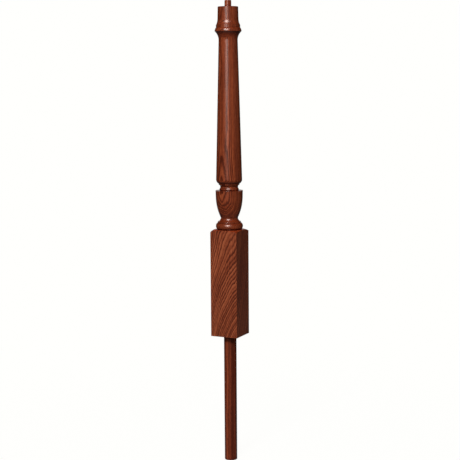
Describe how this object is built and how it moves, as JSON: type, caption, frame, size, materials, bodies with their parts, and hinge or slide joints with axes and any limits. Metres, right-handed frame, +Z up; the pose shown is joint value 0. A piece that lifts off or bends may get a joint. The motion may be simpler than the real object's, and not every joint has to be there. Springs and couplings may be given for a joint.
{
  "type": "volute newel post",
  "caption": "Turned stair newel with a square block, urn, tapered shaft and lipped neck, a pin on top for a volute and a long dowel below.",
  "frame": {"origin": "centre of the square block's underside, where the dowel leaves it", "axes": "+Z up the post, along its length; X and Y square to the block's faces, which are alike"},
  "size_m": [0.0762, 0.0762, 1.2216],
  "materials": {
    "newel_wood": "oak stained red-brown under satin lacquer",
    "dowel_wood": "oak stained red-brown, thinly sealed"
  },
  "bodies": {
    "root": {"newel": "newel_wood", "bottom_dowel": "dowel_wood"}
  },
  "joints": []
}
